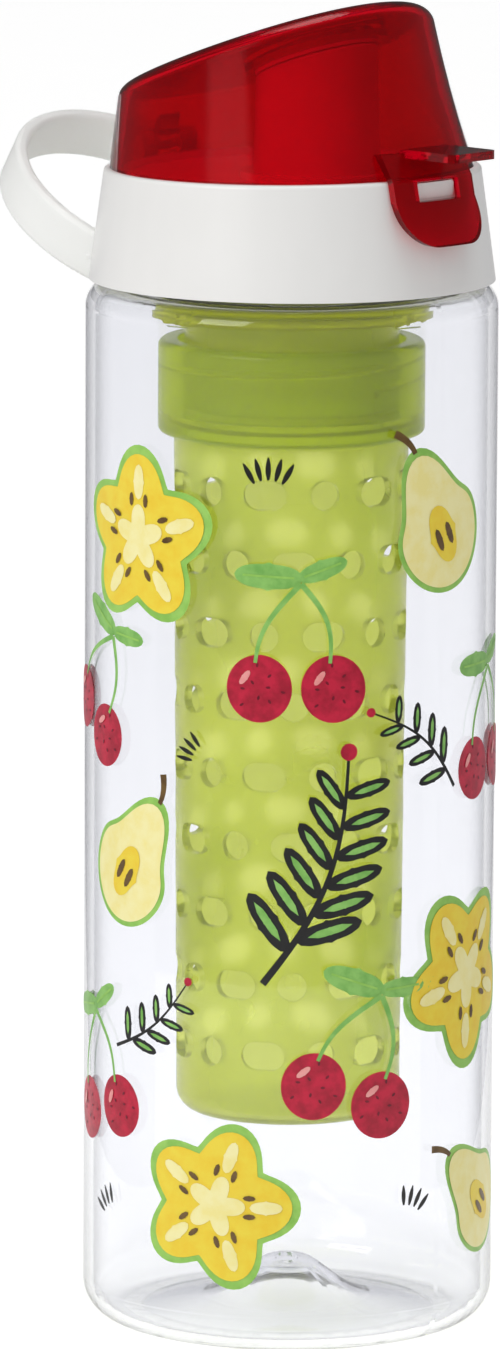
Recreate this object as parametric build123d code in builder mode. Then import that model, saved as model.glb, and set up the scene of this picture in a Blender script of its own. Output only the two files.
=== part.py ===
from math import cos, hypot, radians, sin, tan
import os

from build123d import *

os.makedirs("parts", exist_ok=True)

# Fruit infuser water bottle, in millimetres. The foot stands on Z 0, the bottle's axis is Z, the latch
# faces +X and the hinge and the carry loop are at -X. The cap's seam rises a little towards the latch.

# Bottle
body_dia = 73.5
body_wall = 1.8
shoulder_z = 188.0
shoulder_r = 5.0
shoulder_width = 6.15
foot_land = 10.75
foot_corner_share = 0.65
push_up_height = 9.5
push_up_crown_drop = 0.5
push_up_crown_share = 0.15
push_up_crown_r = 6.0
push_up_waist_height = 3.2
push_up_waist_share = 0.46
push_up_waist_r = 14.0
push_up_soft_r = 3.0
gate_dia = 4.0
gate_height = 1.2
neck_wall = 2.2

# Screw thread between bottle and cap
thread_pitch = 4.5
thread_height = 1.4
thread_root_width = 2.2
thread_crest_width = 1.0
thread_neck_start = 4.5
thread_turns = 1.5
cap_thread_turns = 1.25
thread_gap = 0.3
weld = 0.3

# Cap
cap_height = 20.0
seam_slope = 0.8
cap_base_wall = 3.75
cap_top_wall = 1.05
cap_deck = 2.0
cap_deck_set_in = 1.8
cap_rim_wall = 2.6
cap_edge_r = 0.7
cap_bore_gap = 0.4
neck_seal_width = 3.0
neck_seal_height = 1.6
socket_wall = 1.5
socket_depth = 12.6

# Infuser hanger
flange_side_gap = 3.7
flange_rim = 0.7
flange_height = 2.2
flange_drop = 4.2
sleeve_wall = 1.85
hanger_step = 5.55
hanger_neck_wall = 1.75
hanger_neck_length = 16.1
strainer_bar = 1.6
strainer_gap = 3.8
strainer_height = 2.0
snap_height = 0.45
snap_place = 4.0
snap_gap = 0.05

# Infuser tube
collar_set_in = 0.95
collar_height = 16.7
collar_drop = 4.3
collar_edge_r = 1.2
collar_step = 2.85
tube_taper = 0.9
tube_wall = 1.5
tube_length = 122.6
tube_foot_r = 4.0
lip_cover = 0.2
lip_height = 1.5
infuser_seal_height = 1.5
infuser_pitch = 3.5
infuser_thread_height = 0.95
infuser_thread_root = 1.6
infuser_thread_crest = 0.7
infuser_thread_start = 3.5
infuser_thread_turns = 1.25

# Openings cut through the infuser tube
row_pitch = 12.6
first_row = 13.0
row_count = 9
holes_per_row = 12
slot_length = 7.8
slot_height = 5.2
round_dia = 5.2

# Drinking spout
spout_place_share = 0.173
spout_side_room = 5.2
spout_top_step = 0.8
spout_base_step = 1.7
spout_flange_step = 2.2
spout_wall = 1.6
spout_height = 21.0
spout_slope = 20.5
spout_flange_height = 1.4
spout_stub_gap = 0.1
spout_stub_drop = 1.2
spout_lip_r = 0.6

# Flip cover
cover_wall = 2.0
cover_set_in = 0.85
cover_back_height = 11.05
cover_front_height = 32.05
cover_back_lean = 2.7
cover_front_lean = 9.45
cover_low_share = -0.1
cover_waist_share = 0.5
cover_top_share = 1.2
cover_waist_in = 1.2
cover_crown = -1.2
cover_base_lift = 0.05
cover_edge_r = 3.0

# Stopper in the cover
stopper_disc_step = 0.8
stopper_disc_height = 2.0
stopper_plug_gap = 0.6
stopper_plug_depth = 1.5
stopper_gap = 0.05
stopper_side_gap = 0.05
holder_wall = 1.6
holder_ledge = 3.6
holder_grip = 1.4

# Hinge
pin_dia = 2.2
pin_gap = 0.05
knuckle_dia = 5.6
knuckle_gap = 0.35
knuckle_width = 4.6
knuckle_middle_width = 6.0
knuckle_side_gap = 0.3
hinge_back = 1.05
hinge_rise = 1.6
pin_overhang = 0.4
knuckle_web_drop = 7.0
knuckle_web_rise = 6.0

# Latch tab
latch_gap = 0.35
latch_bend_gap = 0.6
latch_foot_gap = 3.1
latch_wall = 1.3
latch_half_width = 10.2
latch_length = 11.25
latch_corner_r = 6.3
latch_film_set_in = 2.0
window_half_width = 5.3
window_height = 3.55
window_corner_r = 0.8
ledge_half_width = 5.7
ledge_reach = 10.25
ledge_height = 1.5
ledge_rise = 3.95
catch_gap = 0.4
catch_follow_gap = 0.2

# Carry loop
loop_tilt = 30.8
loop_width = 9.0
loop_wall = 2.4
loop_end_angle = 37.3
loop_end_sink = 1.05
loop_end_rise = 2.46
loop_reach = 37.5
loop_edge_r = 0.9
loop_peg_dia = 2.4
loop_peg_depth = 1.6
loop_peg_gap = 0.05
loop_peg_angle = 35.4
loop_peg_rise = 3.3
loop_seat_gap = 0.03
loop_seat_drop = 10.0

overrun = 1.0

# Heights and radii that follow from the sizes above
body_r = body_dia / 2
body_inner_r = body_r - body_wall
push_up_r = body_r - foot_land
foot_corner_r = foot_land * foot_corner_share
neck_r = body_r - shoulder_width
mouth_r = neck_r - neck_wall
cap_top_z = shoulder_z + cap_height
deck_top_z = cap_top_z - cap_deck_set_in
deck_under_z = deck_top_z - cap_deck
neck_top_z = deck_under_z - neck_seal_height
cap_bore_r = neck_r + thread_height + cap_bore_gap
cap_base_r = cap_bore_r + cap_base_wall
cap_top_r = cap_bore_r + cap_top_wall
flange_r = mouth_r - flange_side_gap
sleeve_r = flange_r - flange_rim
sleeve_inner_r = sleeve_r - sleeve_wall
socket_r = sleeve_inner_r - snap_gap
flange_top_z = shoulder_z - flange_drop
hanger_neck_r = flange_r - hanger_step
hanger_inner_r = hanger_neck_r - hanger_neck_wall
hanger_foot_z = flange_top_z - flange_height - hanger_neck_length
strainer_step = strainer_bar + strainer_gap
strainer_count = int(2 * hanger_inner_r // strainer_step)
collar_r = flange_r - collar_set_in
collar_bore_r = hanger_neck_r + infuser_thread_height + thread_gap
collar_top_z = flange_top_z - flange_height - collar_drop
collar_foot_z = collar_top_z - collar_height
tube_top_r = collar_r - collar_step
tube_base_r = tube_top_r - tube_taper
tube_foot_z = collar_foot_z - tube_length
lip_r = hanger_inner_r - lip_cover
lip_top_z = hanger_foot_z - infuser_seal_height
lip_edge_r = lip_height / 4
spout_x = cap_top_r * spout_place_share
spout_stub_r = socket_r - socket_wall - spout_x - spout_side_room
spout_top_r = spout_stub_r + spout_top_step
spout_base_r = spout_stub_r + spout_base_step
spout_bore_r = spout_top_r - spout_wall
spout_mouth_z = deck_top_z + spout_height
cover_r = cap_top_r - cover_set_in
hinge_x = -cap_top_r - hinge_back


def cone_r(z):
    """Outside radius of the cap at a height."""
    return cap_base_r + (cap_top_r - cap_base_r) * (z - shoulder_z) / cap_height


def seam_z(x):
    """Height of the sloping seam between cap and cover."""
    return cap_top_z + x * tan(radians(seam_slope))


hinge_z = seam_z(-cap_top_r) + hinge_rise


def ridge(root_r, crest_r, root_width, crest_width, pitch, turns, start_z):
    """A helical thread ridge that is sunk a little into the wall that carries it."""
    outward = 1 if crest_r > root_r else -1
    sunk_r = root_r - outward * weld
    with BuildPart(mode=Mode.PRIVATE) as thread:
        with BuildLine() as path:
            Helix(pitch=pitch, height=pitch * turns, radius=root_r, center=(0, 0, start_z))
        with BuildSketch(Plane(origin=path.line @ 0, x_dir=(1, 0, 0), z_dir=path.line % 0)):
            with BuildLine():
                Polyline(
                    (sunk_r - root_r, -root_width / 2),
                    (crest_r - root_r, -crest_width / 2),
                    (crest_r - root_r, crest_width / 2),
                    (sunk_r - root_r, root_width / 2),
                    close=True,
                )
            make_face()
        sweep(path=path.line, is_frenet=True)
    return thread.part


# Bottle body: one blown wall with a push-up base, a shoulder and a threaded neck
with BuildPart() as bottle_body:
    with BuildSketch(Plane.XZ):
        with BuildLine():
            outside = FilletPolyline(
                (0, push_up_height),
                (push_up_r * push_up_crown_share, push_up_height - push_up_crown_drop),
                (push_up_r * push_up_waist_share, push_up_waist_height),
                (push_up_r, 0),
                (body_r, 0),
                (body_r, shoulder_z),
                (neck_r, shoulder_z),
                (neck_r, neck_top_z),
                radius=[
                    push_up_crown_r,
                    push_up_waist_r,
                    push_up_soft_r,
                    foot_corner_r,
                    shoulder_r,
                    neck_wall / 4,
                ],
            )
            inside = FilletPolyline(
                (mouth_r, neck_top_z),
                (mouth_r, shoulder_z - body_wall),
                (body_inner_r, shoulder_z - body_wall),
                (body_inner_r, body_wall),
                (push_up_r, body_wall),
                (push_up_r * push_up_waist_share, push_up_waist_height + body_wall),
                (push_up_r * push_up_crown_share, push_up_height - push_up_crown_drop + body_wall),
                (0, push_up_height + body_wall),
                radius=[
                    body_wall / 2,
                    shoulder_r - body_wall,
                    foot_corner_r - body_wall,
                    push_up_soft_r,
                    push_up_waist_r,
                    push_up_crown_r,
                ],
            )
            Line(outside @ 1, inside @ 0)
            Line(inside @ 1, outside @ 0)
        make_face()
    revolve(axis=Axis.Z)
    with BuildSketch(Plane.XY.offset(push_up_height - gate_height)):
        Circle(gate_dia / 2)
    extrude(amount=gate_height + body_wall / 2)
    add(
        ridge(
            neck_r,
            neck_r + thread_height,
            thread_root_width,
            thread_crest_width,
            thread_pitch,
            thread_turns,
            shoulder_z + thread_neck_start,
        )
    )

# Neck seal: flat ring between the bottle's rim and the cap's deck
with BuildPart() as neck_seal:
    with BuildSketch(Plane.XY.offset(neck_top_z)):
        Circle(neck_r)
        Circle(neck_r - neck_seal_width, mode=Mode.SUBTRACT)
    extrude(amount=neck_seal_height)

# Cap: conical skirt, deck, socket for the hanger, hinge ears, catch and inner thread
flank_sum = (thread_root_width + thread_crest_width) / 2
cap_thread_z = shoulder_z + thread_neck_start - flank_sum - thread_gap
ear_inner_y = knuckle_middle_width / 2 + knuckle_side_gap
ear_low_z = seam_z(-cap_top_r) - knuckle_web_drop
seam_front_z = seam_z(cap_top_r)
window_low_z = seam_front_z - window_height
window_low_r = cone_r(window_low_z) + latch_bend_gap
catch_follow_r = hypot(window_low_r - hinge_x, window_low_z - hinge_z) - catch_follow_gap


def hinge_ear(side):
    """One hinge ear of the cap: an eye on a web that runs down into the skirt."""
    with BuildPart(mode=Mode.PRIVATE) as ear:
        with BuildSketch(Plane.XZ.offset(-side * ear_inner_y)):
            with BuildLine():
                Polyline(
                    (hinge_x - knuckle_dia / 2, hinge_z),
                    (-cap_bore_r - weld, hinge_z),
                    (-cap_bore_r - weld, ear_low_z),
                    (-cone_r(ear_low_z), ear_low_z),
                    close=True,
                )
            make_face()
            with Locations((hinge_x, hinge_z)):
                Circle(knuckle_dia / 2)
        extrude(amount=-side * knuckle_width)
    return ear.part


def seat_plane(side):
    """Plane on the cap's flank at the foot of one leg of the loop, facing outwards."""
    out_x = -cos(radians(loop_peg_angle))
    out_y = side * sin(radians(loop_peg_angle))
    seat_z = shoulder_z + loop_peg_rise
    seat_r = cone_r(seat_z)
    return Plane(
        origin=(out_x * seat_r, out_y * seat_r, seat_z),
        x_dir=(-out_y, out_x, 0),
        z_dir=(out_x, out_y, 0),
    )


with BuildPart() as cap:
    with BuildSketch(Plane.XZ):
        with BuildLine():
            Polyline(
                (0, deck_top_z),
                (cap_top_r - cap_rim_wall, deck_top_z),
                (cap_top_r - cap_rim_wall, seam_front_z + overrun),
                (cone_r(seam_front_z + overrun), seam_front_z + overrun),
                (cap_base_r, shoulder_z),
                (cap_bore_r, shoulder_z),
                (cap_bore_r, deck_under_z),
                (socket_r, deck_under_z),
                (socket_r, deck_under_z - socket_depth),
                (socket_r - socket_wall, deck_under_z - socket_depth),
                (socket_r - socket_wall, deck_under_z),
                (0, deck_under_z),
                close=True,
            )
        make_face()
    revolve(axis=Axis.Z)
    # The rim is cut off along the sloping seam and rounded outside
    split(
        bisect_by=Plane(
            origin=(0, 0, cap_top_z),
            x_dir=(cos(radians(seam_slope)), 0, sin(radians(seam_slope))),
            z_dir=(-sin(radians(seam_slope)), 0, cos(radians(seam_slope))),
        ),
        keep=Keep.BOTTOM,
    )
    seam_edges = cap.edges().filter_by(lambda edge: edge.bounding_box().max.Z > cap_top_z)
    fillet(seam_edges.sort_by(SortBy.LENGTH)[-1], cap_edge_r)
    # Bead that the hanger snaps over
    with BuildSketch(Plane.XZ):
        with BuildLine():
            Polyline(
                (socket_r - socket_wall / 2, deck_under_z - socket_depth + snap_place + snap_height),
                (socket_r, deck_under_z - socket_depth + snap_place + snap_height),
                (socket_r + snap_height, deck_under_z - socket_depth + snap_place),
                (socket_r, deck_under_z - socket_depth + snap_place - snap_height),
                (socket_r - socket_wall / 2, deck_under_z - socket_depth + snap_place - snap_height),
                close=True,
            )
        make_face()
    revolve(axis=Axis.Z)
    # Hole for the spout's stub
    with BuildSketch(Plane.XY.offset(deck_under_z - overrun)):
        with Locations((spout_x, 0)):
            Circle(spout_stub_r + spout_stub_gap)
    extrude(amount=cap_deck + 2 * overrun, mode=Mode.SUBTRACT)
    # Two hinge ears, with room between them for the cover's knuckle
    for side in (-1, 1):
        add(hinge_ear(side))
    with BuildSketch(Plane.XZ.offset(-ear_inner_y)):
        with Locations((hinge_x, hinge_z)):
            Circle(knuckle_dia / 2 + knuckle_gap)
    extrude(amount=2 * ear_inner_y, mode=Mode.SUBTRACT)
    with BuildSketch(Plane.XZ.offset(-ear_inner_y - knuckle_width - overrun)):
        with Locations((hinge_x, hinge_z)):
            Circle(pin_dia / 2 + pin_gap)
    extrude(amount=2 * (ear_inner_y + knuckle_width + overrun), mode=Mode.SUBTRACT)
    # Round sockets for the loop's pegs
    for side in (-1, 1):
        with BuildSketch(seat_plane(side).offset(-loop_peg_depth - loop_peg_gap)):
            Circle(loop_peg_dia / 2 + loop_peg_gap)
        extrude(amount=loop_peg_depth + overrun, mode=Mode.SUBTRACT)
    add(
        ridge(
            cap_bore_r,
            neck_r + thread_gap,
            thread_root_width,
            thread_crest_width,
            thread_pitch,
            cap_thread_turns,
            cap_thread_z,
        )
    )

# Catch: a nub in the latch's window whose face follows the latch's swing about the hinge
with BuildPart(mode=Mode.PRIVATE) as catch:
    with BuildSketch(Plane.XZ):
        with Locations((hinge_x, hinge_z)):
            Circle(catch_follow_r)
        with Locations((cap_bore_r + weld, window_low_z)):
            Rectangle(
                cap_base_r - cap_bore_r,
                window_height,
                align=(Align.MIN, Align.MIN),
                mode=Mode.INTERSECT,
            )
    revolve(axis=Axis.Z)
    with BuildSketch(Plane.YZ):
        with Locations((0, window_low_z + window_height / 2)):
            RectangleRounded(
                2 * (window_half_width - catch_gap),
                window_height - 2 * catch_gap,
                window_corner_r,
            )
    extrude(amount=cap_base_r + overrun, mode=Mode.INTERSECT)

with BuildPart() as cap_whole:
    add(cap.part)
    add(catch.part)

# Carry loop: part of a round strap on a tilted plane, with a peg at each end
loop_end_z = shoulder_z + loop_end_rise
loop_end_r = cone_r(loop_end_z) - loop_end_sink
loop_half = loop_end_r * sin(radians(loop_end_angle))
loop_r = (loop_half**2 + loop_reach**2) / (2 * loop_reach)
loop_plane = Plane(
    origin=(-loop_end_r * cos(radians(loop_end_angle)), 0, loop_end_z),
    x_dir=(-cos(radians(loop_tilt)), 0, sin(radians(loop_tilt))),
    z_dir=(sin(radians(loop_tilt)), 0, cos(radians(loop_tilt))),
)
with BuildPart() as carry_loop:
    with BuildSketch(loop_plane):
        with Locations((loop_reach - loop_r, 0)):
            Circle(loop_r)
            Circle(loop_r - loop_wall, mode=Mode.SUBTRACT)
    extrude(amount=loop_width / 2, both=True)
    fillet(carry_loop.edges().filter_by(GeomType.CIRCLE), loop_edge_r)
    seat_low_z = shoulder_z - loop_seat_drop
    with Locations((0, 0, seat_low_z)):
        Cone(
            cone_r(seat_low_z) + loop_seat_gap,
            cone_r(cap_top_z) + loop_seat_gap,
            cap_top_z - seat_low_z,
            align=(Align.CENTER, Align.CENTER, Align.MIN),
            mode=Mode.SUBTRACT,
        )
    for side in (-1, 1):
        with BuildSketch(seat_plane(side).offset(-loop_peg_depth)):
            Circle(loop_peg_dia / 2)
        extrude(amount=loop_peg_depth + loop_wall / 2)

# Drinking spout: tapered tube with a slanted mouth, a flange on the deck and a stub through it
mouth_plane = Plane(
    origin=(spout_x, 0, spout_mouth_z),
    x_dir=(cos(radians(spout_slope)), 0, sin(radians(spout_slope))),
    z_dir=(-sin(radians(spout_slope)), 0, cos(radians(spout_slope))),
)
with BuildPart() as drinking_spout:
    with BuildSketch(Plane.XY.offset(deck_top_z)):
        with Locations((spout_x, 0)):
            Circle(spout_base_r)
    with BuildSketch(Plane.XY.offset(spout_mouth_z + spout_top_r)):
        with Locations((spout_x, 0)):
            Circle(spout_top_r)
    loft()
    split(bisect_by=mouth_plane, keep=Keep.BOTTOM)
    with BuildSketch(Plane.XY.offset(deck_top_z)):
        with Locations((spout_x, 0)):
            Circle(spout_base_r + spout_flange_step)
    extrude(amount=spout_flange_height)
    with BuildSketch(Plane.XY.offset(deck_under_z - spout_stub_drop)):
        with Locations((spout_x, 0)):
            Circle(spout_stub_r)
    extrude(amount=spout_stub_drop + cap_deck)
    with BuildSketch(Plane.XY.offset(deck_under_z - spout_stub_drop - overrun)):
        with Locations((spout_x, 0)):
            Circle(spout_bore_r)
    extrude(amount=spout_height + 2 * spout_top_r + cap_deck + spout_stub_drop, mode=Mode.SUBTRACT)
    mouth_faces = drinking_spout.faces().filter_by(Axis((0, 0, 0), mouth_plane.z_dir))
    fillet(mouth_faces.sort_by(Axis.Z)[-1].edges(), spout_lip_r)


# Flip cover: a lofted shell with a sloping roof, a holder for the stopper and a hinge knuckle
def cover_form(inset):
    """Solid of the cover's outside, or of its hollow where an inset is given."""
    with BuildPart(mode=Mode.PRIVATE) as form:
        for share in (cover_low_share, cover_waist_share, cover_top_share):
            waist = cover_waist_in if share == cover_waist_share else 0
            back = cover_r - cover_back_lean * share
            front = cover_r - cover_front_lean * share - waist
            with BuildSketch(Plane.XY.offset(cap_top_z + cover_front_height * share)):
                with Locations(((front - back) / 2, 0)):
                    Circle((front + back) / 2 - inset)
        loft()
        with BuildSketch(Plane.XZ):
            with BuildLine():
                back_z = cap_top_z + cover_back_height - inset
                front_z = cap_top_z + cover_front_height - inset
                front_x = cover_r - cover_front_lean
                middle_x = (front_x - cover_r) / 2
                middle_z = (back_z + front_z) / 2 + cover_crown
                roof = ThreePointArc((-cover_r, back_z), (middle_x, middle_z), (front_x, front_z))
                brow = Line(roof @ 1, roof @ 1 + roof % 1 * 2 * cover_front_lean)
                brow_x = (brow @ 1).X
                Polyline(
                    brow @ 1,
                    (brow_x, seam_z(brow_x) + cover_base_lift),
                    (-cap_top_r, seam_z(-cap_top_r) + cover_base_lift),
                    roof @ 0,
                )
            make_face()
        extrude(amount=cap_top_r, both=True, mode=Mode.INTERSECT)
        rim = form.edges().filter_by(lambda edge: edge.center().Z > seam_front_z + cover_wall)
        fillet(rim, cover_edge_r - inset)
    return form.part


stopper_disc_r = spout_top_r + stopper_disc_step
with BuildPart(mode=Mode.PRIVATE) as holder:
    seat_offset = stopper_gap + stopper_disc_height
    with BuildSketch(mouth_plane.offset(seat_offset - holder_grip)):
        Circle(stopper_disc_r + stopper_side_gap + holder_wall)
        Circle(stopper_disc_r + stopper_side_gap, mode=Mode.SUBTRACT)
    extrude(amount=holder_grip)
    with BuildSketch(mouth_plane.offset(seat_offset)):
        Circle(stopper_disc_r + stopper_side_gap + holder_wall)
        Circle(stopper_disc_r - holder_ledge, mode=Mode.SUBTRACT)
    extrude(amount=cover_front_height - cover_back_height)
    add(cover_form(cover_wall / 2), mode=Mode.INTERSECT)

ear_outer_y = ear_inner_y + knuckle_width
with BuildPart() as flip_cover:
    add(cover_form(0))
    add(cover_form(cover_wall), mode=Mode.SUBTRACT)
    add(holder.part)
    # Pockets for the cap's two hinge ears
    for side in (-1, 1):
        with BuildSketch(Plane.XZ.offset(-side * (ear_inner_y - knuckle_side_gap))):
            with Locations((hinge_x, hinge_z)):
                Circle(knuckle_dia / 2 + knuckle_gap)
        extrude(amount=-side * (knuckle_width + 2 * knuckle_side_gap), mode=Mode.SUBTRACT)
    # Middle knuckle on a web that runs up the back wall
    with BuildSketch(Plane.XZ.offset(-knuckle_middle_width / 2)):
        with BuildLine():
            Polyline(
                (hinge_x - knuckle_dia / 2, hinge_z),
                (-cover_r + cover_wall, hinge_z),
                (-cover_r + cover_wall, hinge_z + knuckle_web_rise),
                (-cover_r + cover_wall / 2, hinge_z + knuckle_web_rise),
                close=True,
            )
        make_face()
        with Locations((hinge_x, hinge_z)):
            Circle(knuckle_dia / 2)
    extrude(amount=knuckle_middle_width)
    with BuildSketch(Plane.XZ.offset(-knuckle_middle_width / 2 - overrun)):
        with Locations((hinge_x, hinge_z)):
            Circle(pin_dia / 2 + pin_gap)
    extrude(amount=knuckle_middle_width + 2 * overrun, mode=Mode.SUBTRACT)

# Stopper: soft disc with a plug that dips into the spout's mouth
with BuildPart() as spout_stopper:
    with BuildSketch(mouth_plane.offset(stopper_gap)):
        Circle(stopper_disc_r)
    extrude(amount=stopper_disc_height)
    with BuildSketch(mouth_plane.offset(stopper_gap - stopper_plug_depth)):
        Circle(spout_bore_r - stopper_plug_gap)
    extrude(amount=stopper_plug_depth)
    plug_rim = spout_stopper.edges().filter_by(GeomType.CIRCLE).sort_by(Axis.Z)[0]
    chamfer(plug_rim, stopper_plug_depth / 3)

# Hinge pin
with BuildPart() as hinge_pin:
    with BuildSketch(Plane.XZ.offset(-ear_outer_y - pin_overhang)):
        with Locations((hinge_x, hinge_z)):
            Circle(pin_dia / 2)
    extrude(amount=2 * (ear_outer_y + pin_overhang))
    chamfer(hinge_pin.edges().filter_by(GeomType.CIRCLE), pin_overhang / 2)

# Latch tab: a windowed tab that stands off the cap's flank towards its foot, under a thumb ledge.
# The ledge's inner end is a round bead on the axis of the film hinge.
film_x = cap_top_r - latch_film_set_in
film_z = seam_front_z + ledge_rise + ledge_height / 2
bead_r = ledge_height / 2
latch_foot_z = seam_front_z - latch_length
seam_in_x = cone_r(seam_front_z) + latch_gap
foot_in_x = cone_r(latch_foot_z) + latch_foot_gap
with BuildPart() as latch_tab:
    with BuildSketch(Plane.XZ):
        with BuildLine():
            Polyline(
                (film_x - bead_r, film_z),
                (seam_in_x, seam_front_z),
                (window_low_r, window_low_z),
                (foot_in_x, latch_foot_z),
                (foot_in_x + latch_wall, latch_foot_z),
                (window_low_r + latch_wall, window_low_z),
                (seam_in_x + latch_wall, seam_front_z),
                (film_x + bead_r, film_z),
                close=True,
            )
        make_face()
    revolve(axis=Axis.Z)
    with BuildSketch(Plane.YZ):
        with Locations((0, latch_foot_z)):
            Rectangle(
                2 * latch_half_width,
                film_z - latch_foot_z,
                align=(Align.CENTER, Align.MIN),
            )
        fillet(vertices().group_by(Axis.Y)[0], latch_corner_r)
    extrude(amount=foot_in_x + latch_length, mode=Mode.INTERSECT)
    with BuildSketch(Plane.YZ):
        with Locations((0, window_low_z)):
            Rectangle(
                2 * window_half_width,
                window_height,
                align=(Align.CENTER, Align.MIN),
            )
    extrude(amount=foot_in_x + latch_length, mode=Mode.SUBTRACT)
    # Thumb ledge with rounded front corners
    with BuildSketch(Plane.XY.offset(film_z - ledge_height / 2)):
        with Locations((film_x, 0)):
            Rectangle(
                cap_top_r + ledge_reach - film_x,
                2 * ledge_half_width,
                align=(Align.MIN, Align.CENTER),
            )
        fillet(vertices().group_by(Axis.X)[-1], ledge_height)
    extrude(amount=ledge_height)
    with BuildSketch(Plane.XZ):
        with Locations((film_x, film_z)):
            Circle(bead_r)
    extrude(amount=ledge_half_width, both=True)

# Infuser hanger: sleeve that snaps over the cap's socket, flange, strainer and threaded neck
flange_under_z = flange_top_z - flange_height
snap_z = deck_under_z - socket_depth + snap_place
with BuildPart() as infuser_hanger:
    with BuildSketch(Plane.XY.offset(flange_top_z - strainer_height)):
        Circle(hanger_inner_r + weld)
        with GridLocations(strainer_step, strainer_step, strainer_count, strainer_count):
            Rectangle(strainer_gap, strainer_gap, mode=Mode.SUBTRACT)
    extrude(amount=strainer_height)
    with BuildSketch(Plane.XZ):
        with BuildLine():
            Polyline(
                (hanger_inner_r, flange_top_z),
                (sleeve_inner_r, flange_top_z),
                (sleeve_inner_r, snap_z - snap_height - snap_gap),
                (sleeve_inner_r + snap_height, snap_z),
                (sleeve_inner_r, snap_z + snap_height + snap_gap),
                (sleeve_inner_r, deck_under_z),
                (sleeve_r, deck_under_z),
                (sleeve_r, flange_top_z),
                (flange_r, flange_top_z),
                (flange_r, flange_under_z),
                (hanger_neck_r, flange_under_z),
                (hanger_neck_r, hanger_foot_z),
                (hanger_inner_r, hanger_foot_z),
                close=True,
            )
        make_face()
    revolve(axis=Axis.Z)
    add(
        ridge(
            hanger_neck_r,
            hanger_neck_r + infuser_thread_height,
            infuser_thread_root,
            infuser_thread_crest,
            infuser_pitch,
            infuser_thread_turns,
            hanger_foot_z + infuser_thread_start,
        )
    )

# Infuser seal: flat ring between the hanger's foot and the lip in the collar
with BuildPart() as infuser_seal:
    with BuildSketch(Plane.XY.offset(lip_top_z)):
        Circle(hanger_neck_r)
        Circle(hanger_inner_r, mode=Mode.SUBTRACT)
    extrude(amount=infuser_seal_height)

# Infuser tube: collar with an inner thread, then a slightly tapered perforated tube
infuser_flank_sum = (infuser_thread_root + infuser_thread_crest) / 2
with BuildPart() as infuser_tube:
    with BuildSketch(Plane.XZ):
        with BuildLine():
            hollow = FilletPolyline(
                (0, tube_foot_z + tube_wall),
                (tube_base_r - tube_wall, tube_foot_z + tube_wall),
                (tube_top_r - tube_wall, lip_top_z - lip_height),
                (lip_r, lip_top_z - lip_height),
                (lip_r, lip_top_z),
                (collar_bore_r, lip_top_z),
                (collar_bore_r, collar_top_z),
                radius=[tube_foot_r - tube_wall, lip_edge_r, lip_edge_r, lip_edge_r, lip_edge_r],
            )
            skin = FilletPolyline(
                (collar_bore_r, collar_top_z),
                (collar_r, collar_top_z),
                (collar_r, collar_foot_z),
                (tube_top_r, collar_foot_z),
                (tube_base_r, tube_foot_z),
                (0, tube_foot_z),
                radius=[collar_edge_r, collar_edge_r, collar_edge_r / 2, tube_foot_r],
            )
            Line(skin @ 1, hollow @ 0)
        make_face()
    revolve(axis=Axis.Z)
    add(
        ridge(
            collar_bore_r,
            hanger_neck_r + thread_gap,
            infuser_thread_root,
            infuser_thread_crest,
            infuser_pitch,
            infuser_thread_turns,
            hanger_foot_z + infuser_thread_start + infuser_flank_sum + thread_gap,
        )
    )
    # Rows of slots and round holes that let the water through
    for row in range(row_count):
        for place in range(holes_per_row):
            turn = radians(360 * (place + row / 2) / holes_per_row)
            wall_plane = Plane(
                origin=(0, 0, tube_foot_z + first_row + row_pitch * row),
                x_dir=(-sin(turn), cos(turn), 0),
                z_dir=(cos(turn), sin(turn), 0),
            )
            with BuildSketch(wall_plane.offset(lip_r)):
                if (place + row) % 2:
                    Circle(round_dia / 2)
                else:
                    SlotOverall(slot_length, slot_height)
    extrude(amount=collar_r - lip_r, mode=Mode.SUBTRACT)

pieces = {
    "bottle_body": bottle_body,
    "neck_seal": neck_seal,
    "cap": cap_whole,
    "carry_loop": carry_loop,
    "drinking_spout": drinking_spout,
    "flip_cover": flip_cover,
    "spout_stopper": spout_stopper,
    "hinge_pin": hinge_pin,
    "latch_tab": latch_tab,
    "infuser_hanger": infuser_hanger,
    "infuser_seal": infuser_seal,
    "infuser_tube": infuser_tube,
}
for name, piece in pieces.items():
    piece.part.label = name
    export_step(piece.part, f"parts/{name}.step")
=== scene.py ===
import math

import bpy
from mathutils import Matrix, Vector


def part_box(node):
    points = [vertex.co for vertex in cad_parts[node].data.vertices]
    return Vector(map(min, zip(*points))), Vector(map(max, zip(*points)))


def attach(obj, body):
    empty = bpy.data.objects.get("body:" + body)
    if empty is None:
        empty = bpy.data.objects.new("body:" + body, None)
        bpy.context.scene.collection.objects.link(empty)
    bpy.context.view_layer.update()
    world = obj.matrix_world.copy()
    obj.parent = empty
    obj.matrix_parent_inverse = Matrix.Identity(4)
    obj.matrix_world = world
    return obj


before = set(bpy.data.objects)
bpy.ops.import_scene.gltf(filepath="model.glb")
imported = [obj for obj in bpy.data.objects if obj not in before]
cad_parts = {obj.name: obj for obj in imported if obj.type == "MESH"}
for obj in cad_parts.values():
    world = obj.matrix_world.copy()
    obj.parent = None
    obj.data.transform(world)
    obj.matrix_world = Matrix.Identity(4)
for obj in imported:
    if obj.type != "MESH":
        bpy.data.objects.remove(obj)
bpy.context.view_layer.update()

# Camera, a long lens a little above the middle of the bottle
CAMERA_AZIMUTH = math.radians(43)
CAMERA_DISTANCE = 1.9468
CAMERA_HEIGHT = 0.4385
CAMERA_PITCH = math.radians(9.39)
CAMERA_ROLL = math.radians(0.32)
CAMERA_LENS = 294.9
FRAME_OFFSET_SHARE = 40 / 11051

MM = 0.001

# Body wall that carries the print
body_low, body_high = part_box("bottle_body")
BODY_R = (body_high[0] - body_low[0]) / 2
PRINT_LIFT = 0.06 * MM

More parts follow.
